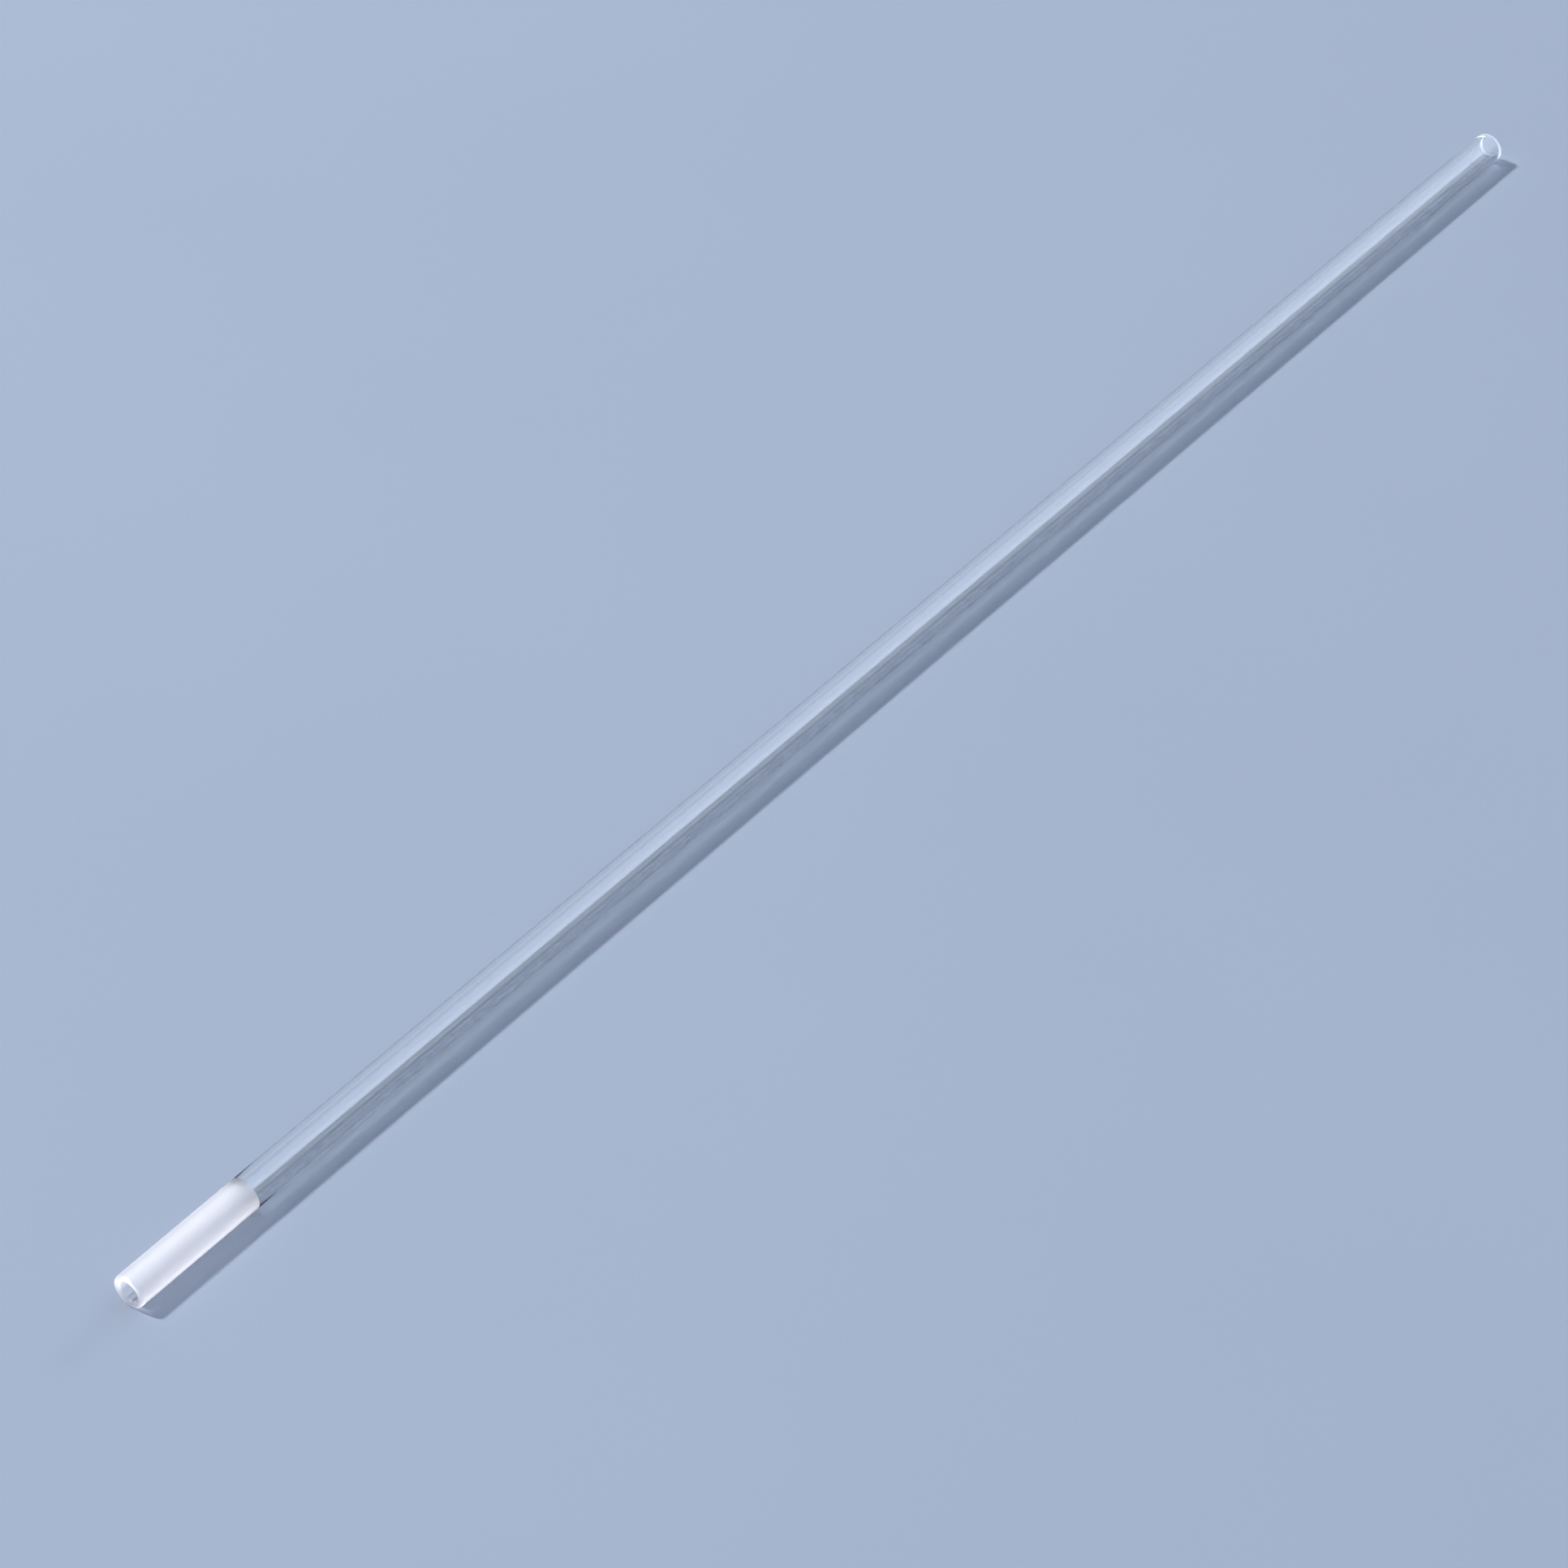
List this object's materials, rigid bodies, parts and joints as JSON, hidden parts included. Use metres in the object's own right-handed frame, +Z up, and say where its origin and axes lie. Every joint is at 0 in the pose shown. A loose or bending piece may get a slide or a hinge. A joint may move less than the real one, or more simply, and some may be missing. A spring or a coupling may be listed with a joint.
{
  "type": "glass capillary tube",
  "caption": "Straight clear glass tube with a narrow through bore, melted smooth ends and a ground, frosted outside at one end.",
  "frame": {"origin": "on the plane the tube lies on, under the middle of its length", "axes": "+X along the tube from the frosted end to the clear end, +Z up, +Y to the left when looking along +X"},
  "size_m": [0.32, 0.005, 0.005],
  "materials": {
    "tube_glass": "clear drawn glass, smooth and glossy; the outside of one end is ground to a fine white frost"
  },
  "bodies": {
    "root": {"capillary_tube": "tube_glass"}
  },
  "joints": []
}
